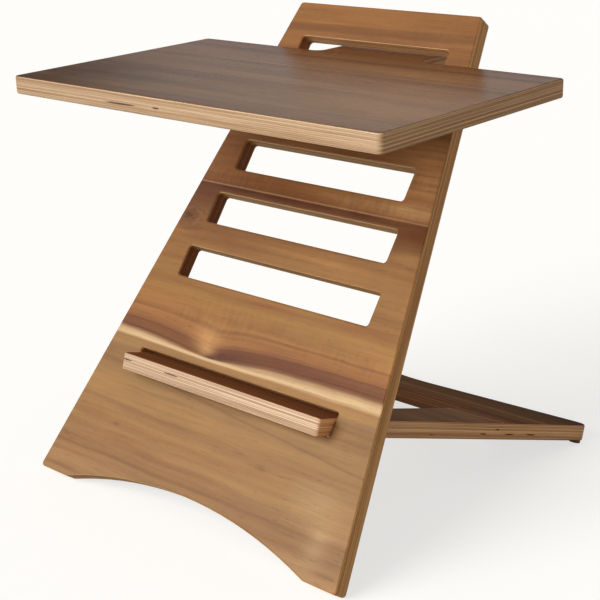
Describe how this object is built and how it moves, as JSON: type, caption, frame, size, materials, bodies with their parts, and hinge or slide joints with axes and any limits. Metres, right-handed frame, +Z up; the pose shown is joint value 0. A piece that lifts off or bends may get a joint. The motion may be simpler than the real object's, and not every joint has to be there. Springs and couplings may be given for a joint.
{
  "type": "laptop stand",
  "caption": "Slot-together plywood laptop stand: a level shelf hangs by its tongue in a slotted, leaning back panel that is propped by a sloping leg with a hand window.",
  "frame": {"origin": "on the desk, under the middle of the stand's overall box", "axes": "+X is to the right for someone who faces the panel's front and the shelf, +Y points back towards the leg's feet, +Z is up. Each board mirrors about its own middle: the shelf about X = 0, the panel and the leg about X = -9.4 mm, because the shelf stands 9.4 mm to the right of the middle of its slot."},
  "size_m": [0.46, 0.4312, 0.4661],
  "materials": {
    "panel_face": "satin lacquered veneer, orange-brown with cream sapwood",
    "panel_plies": "sanded and lacquered ply edges",
    "panel_back": "satin lacquered veneer",
    "shelf_face": "satin lacquered veneer, grey-brown",
    "shelf_plies": "sanded and lacquered ply edges",
    "shelf_underside": "satin lacquered veneer",
    "leg_face": "satin lacquered veneer, dark brown",
    "leg_plies": "sanded and lacquered ply edges",
    "leg_underside": "satin lacquered veneer",
    "pad": "matte, dark brown"
  },
  "bodies": {
    "panel": {"panel_front_veneer": "panel_face", "panel_core": "panel_plies", "panel_back_veneer": "panel_back"},
    "shelf": {"shelf_top_veneer": "shelf_face", "shelf_core": "shelf_plies", "shelf_underside_veneer": "shelf_underside"},
    "leg": {"leg_top_veneer": "leg_face", "leg_core": "leg_plies", "leg_underside_veneer": "leg_underside", "leg_pad_left": "pad", "leg_pad_right": "pad"}
  },
  "joints": [
    {"name": "shelf_slide", "type": "slide", "parent": "panel", "child": "shelf", "axis": [0, -1, 0], "range_m": [0, 0.062]},
    {"name": "leg_slide", "type": "slide", "parent": "panel", "child": "leg", "axis": [0, 0.9513, -0.3082], "range_m": [0, 0.046]}
  ]
}
